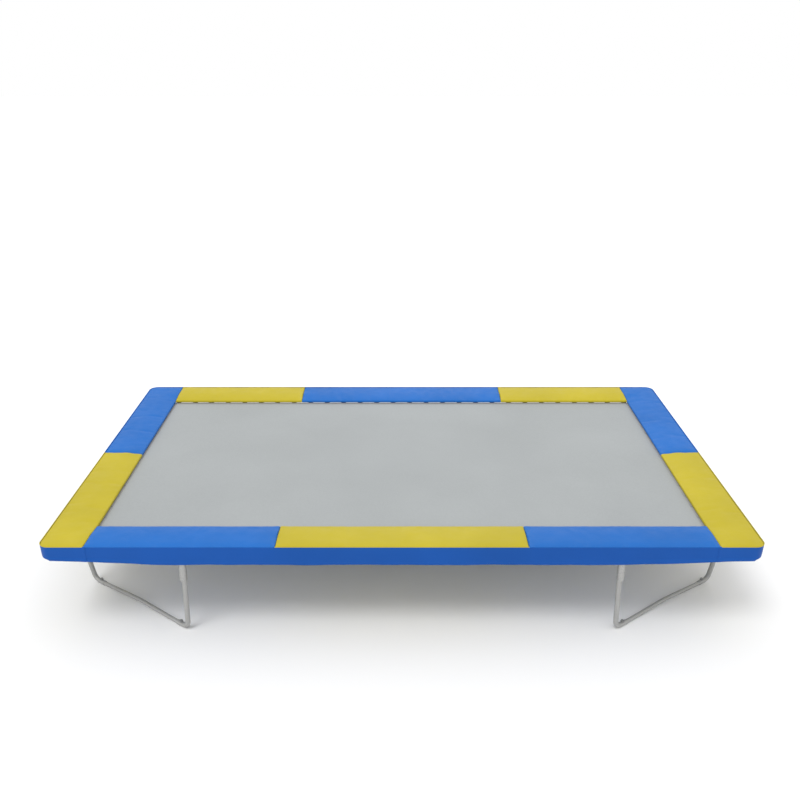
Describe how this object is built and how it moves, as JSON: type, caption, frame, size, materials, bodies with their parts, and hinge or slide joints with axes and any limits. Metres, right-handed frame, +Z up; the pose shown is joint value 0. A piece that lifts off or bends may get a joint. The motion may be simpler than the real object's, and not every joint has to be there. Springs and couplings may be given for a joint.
{
  "type": "trampoline",
  "caption": "Rectangular garden trampoline: a sprung mat in a tubular steel frame on bent tube legs, with a two-colour padded spring cover and skirt.",
  "frame": {"origin": "on the floor, under the middle of the mat", "axes": "+X along the long side to the right, -Y to the front, +Z up"},
  "size_m": [4.596, 2.767, 0.6514],
  "materials": {
    "rail_steel": "satin",
    "leg_steel": "satin",
    "rail_bolt_steel": "satin",
    "foot_bolt_steel": "satin",
    "mat_mesh": "matte",
    "spring_steel": "satin",
    "vinyl_blue": "satin",
    "vinyl_yellow": "satin",
    "skirt_blue": "satin"
  },
  "bodies": {
    "frame": {"rail_corner_front_left": "rail_steel", "rail_corner_front_right": "rail_steel", "rail_corner_back_left": "rail_steel", "rail_corner_back_right": "rail_steel", "rail_front_left": "rail_steel", "rail_front_right": "rail_steel", "rail_back_left": "rail_steel", "rail_back_right": "rail_steel", "rail_side_left": "rail_steel", "rail_side_right": "rail_steel", "rail_bolt_front_left": "rail_bolt_steel", "rail_bolt_front_middle": "rail_bolt_steel", "rail_bolt_front_right": "rail_bolt_steel", "rail_bolt_back_left": "rail_bolt_steel", "rail_bolt_back_middle": "rail_bolt_steel", "rail_bolt_back_right": "rail_bolt_steel", "rail_bolt_side_front_left": "rail_bolt_steel", "rail_bolt_side_front_right": "rail_bolt_steel", "rail_bolt_side_back_left": "rail_bolt_steel", "rail_bolt_side_back_right": "rail_bolt_steel", "leg_near_upright_front_left": "leg_steel", "leg_far_upright_front_left": "leg_steel", "leg_base_front_left": "leg_steel", "leg_near_upright_front_right": "leg_steel", "leg_far_upright_front_right": "leg_steel", "leg_base_front_right": "leg_steel", "leg_near_upright_back_left": "leg_steel", "leg_far_upright_back_left": "leg_steel", "leg_base_back_left": "leg_steel", "leg_near_upright_back_right": "leg_steel", "leg_far_upright_back_right": "leg_steel", "leg_base_back_right": "leg_steel", "foot_bolt_near_front_left": "foot_bolt_steel", "foot_bolt_far_front_left": "foot_bolt_steel", "foot_bolt_near_front_right": "foot_bolt_steel", "foot_bolt_far_front_right": "foot_bolt_steel", "foot_bolt_near_back_left": "foot_bolt_steel", "foot_bolt_far_back_left": "foot_bolt_steel", "foot_bolt_near_back_right": "foot_bolt_steel", "foot_bolt_far_back_right": "foot_bolt_steel"},
    "jump_mat": {"jump_mat": "mat_mesh"},
    "springs_front": {"springs_front": "spring_steel"},
    "springs_back": {"springs_back": "spring_steel"},
    "springs_left": {"springs_left": "spring_steel"},
    "springs_right": {"springs_right": "spring_steel"},
    "cover": {"cover_front_left": "vinyl_blue", "cover_front_right": "vinyl_blue", "cover_back_middle": "vinyl_blue", "cover_left_back": "vinyl_blue", "cover_right_back": "vinyl_blue", "cover_front_middle": "vinyl_yellow", "cover_back_left": "vinyl_yellow", "cover_back_right": "vinyl_yellow", "cover_left_front": "vinyl_yellow", "cover_right_front": "vinyl_yellow", "skirt_front": "skirt_blue", "skirt_back": "skirt_blue", "skirt_left": "skirt_blue", "skirt_right": "skirt_blue"}
  },
  "joints": [
    {"name": "mat_bounce", "type": "slide", "parent": "frame", "child": "jump_mat", "axis": [0, 0, -1], "range_m": [0, 0.12], "stiffness_N_per_m": 5000, "springref_m": -0.07, "deforming": ["springs_front", "springs_back", "springs_left", "springs_right"]},
    {"name": "spring_tilt_front", "type": "hinge", "parent": "frame", "child": "springs_front", "pos_m": [0, -1.3295, 0.604], "axis": [-1, 0, 0], "range_deg": [0, 29]},
    {"name": "spring_tilt_back", "type": "hinge", "parent": "frame", "child": "springs_back", "pos_m": [0, 1.3295, 0.604], "axis": [1, 0, 0], "range_deg": [0, 29]},
    {"name": "spring_tilt_left", "type": "hinge", "parent": "frame", "child": "springs_left", "pos_m": [-2.244, 0, 0.604], "axis": [0, 1, 0], "range_deg": [0, 29]},
    {"name": "spring_tilt_right", "type": "hinge", "parent": "frame", "child": "springs_right", "pos_m": [2.244, 0, 0.604], "axis": [0, -1, 0], "range_deg": [0, 29]},
    {"name": "cover_lift", "type": "slide", "parent": "frame", "child": "cover", "axis": [0, 0, 1], "range_m": [0, 1.3]}
  ],
  "couplings": [
    {"joint": "spring_tilt_front", "follows": "mat_bounce", "rad_per_m": 4.2144},
    {"joint": "spring_tilt_back", "follows": "mat_bounce", "rad_per_m": 4.2144},
    {"joint": "spring_tilt_left", "follows": "mat_bounce", "rad_per_m": 4.2144},
    {"joint": "spring_tilt_right", "follows": "mat_bounce", "rad_per_m": 4.2144}
  ]
}
